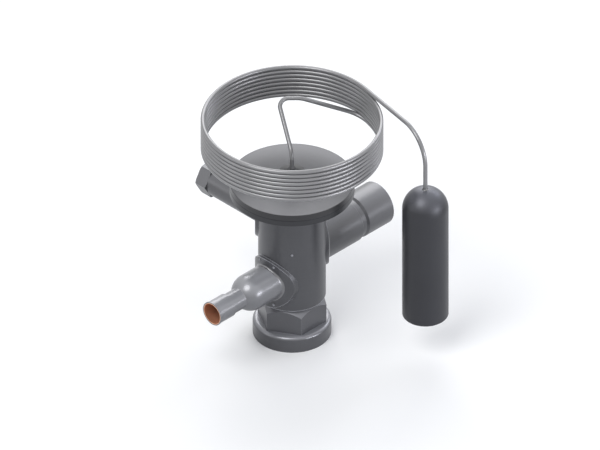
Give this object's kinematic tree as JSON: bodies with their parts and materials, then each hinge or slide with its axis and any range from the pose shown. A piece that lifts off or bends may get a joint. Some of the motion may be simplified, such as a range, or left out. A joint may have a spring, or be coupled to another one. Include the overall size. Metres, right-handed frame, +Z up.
{
  "type": "thermostatic expansion valve",
  "caption": "Refrigerant expansion valve: upright body with three side ports, disc head, wound capillary and remote sensing bulb.",
  "frame": {"origin": "centre of the flat underside of the seal cap, on the valve body's axis", "axes": "+Z up along the body's axis to the head; the inlet points along -X, the outlet along +X and the equalising port along +Y"},
  "size_m": [0.1277, 0.1424, 0.1425],
  "materials": {
    "body_steel": "satin turned steel",
    "cap_steel": "satin turned steel",
    "head_steel": "satin pressed steel",
    "bright_steel": "ground",
    "capillary_metal": "drawn, satin",
    "bulb_metal": "satin",
    "copper": "drawn copper",
    "bronze": "woven wire",
    "inner_brass": "turned",
    "seal_rubber": "matt"
  },
  "bodies": {
    "valve": {"valve_body": "body_steel", "inlet_connector": "body_steel", "outlet_connector": "body_steel", "equalizer_stem": "body_steel", "inlet_copper_liner": "copper", "outlet_copper_liner": "copper", "inlet_strainer": "bronze", "bottom_plug": "body_steel", "spindle_seal": "seal_rubber", "superheat_spring": "bright_steel", "orifice_seat": "bright_steel", "rod_guide": "inner_brass", "rod_packing": "seal_rubber", "packing_gland": "inner_brass", "head_gasket": "copper", "head_base": "head_steel", "diaphragm": "bright_steel", "head_cover": "head_steel", "capillary_hub": "head_steel", "capillary_tube": "capillary_metal", "sensing_bulb": "bulb_metal"},
    "moving_cone": {"valve_cone": "bright_steel", "push_rod": "bright_steel", "thrust_pad": "inner_brass"},
    "spindle": {"setting_spindle": "bright_steel"},
    "carrier": {"spring_carrier": "inner_brass"},
    "cap_ring": {"cap_gasket": "copper"},
    "cap": {"seal_cap": "cap_steel"},
    "nut_seal": {"equalizer_bonnet": "copper"},
    "nut": {"equalizer_nut": "body_steel"}
  },
  "joints": [
    {"name": "valve_stroke", "type": "slide", "parent": "valve", "child": "moving_cone", "axis": [0, 0, -1], "range_m": [0, 0.0008], "stiffness_N_per_m": 9000, "springref_m": -0.004, "deforming": ["superheat_spring"]},
    {"name": "spindle_turn", "type": "hinge", "parent": "valve", "child": "spindle", "pos_m": [0, 0, 0.013], "axis": [0, 0, 1], "range_deg": [-722, 722]},
    {"name": "carrier_travel", "type": "slide", "parent": "valve", "child": "carrier", "axis": [0, 0, 1], "range_m": [-0.002, 0.002], "deforming": ["superheat_spring"]},
    {"name": "cap_travel", "type": "slide", "parent": "valve", "child": "cap_ring", "axis": [0, 0, -1], "range_m": [0, 0.009]},
    {"name": "cap_turn", "type": "hinge", "parent": "cap_ring", "child": "cap", "pos_m": [0, 0, 0.005], "axis": [0, 0, -1], "range_deg": [0, 2162]},
    {"name": "nut_travel", "type": "slide", "parent": "valve", "child": "nut_seal", "axis": [0, 1, 0], "range_m": [0, 0.0084]},
    {"name": "nut_turn", "type": "hinge", "parent": "nut_seal", "child": "nut", "pos_m": [0, 0.061, 0.071], "axis": [0, 1, 0], "range_deg": [0, 2162]}
  ],
  "couplings": [
    {"joint": "spindle_turn", "follows": "carrier_travel", "rad_per_m": -6283.2},
    {"joint": "cap_turn", "follows": "cap_travel", "rad_per_m": 4188.8},
    {"joint": "nut_turn", "follows": "nut_travel", "rad_per_m": 4488}
  ]
}
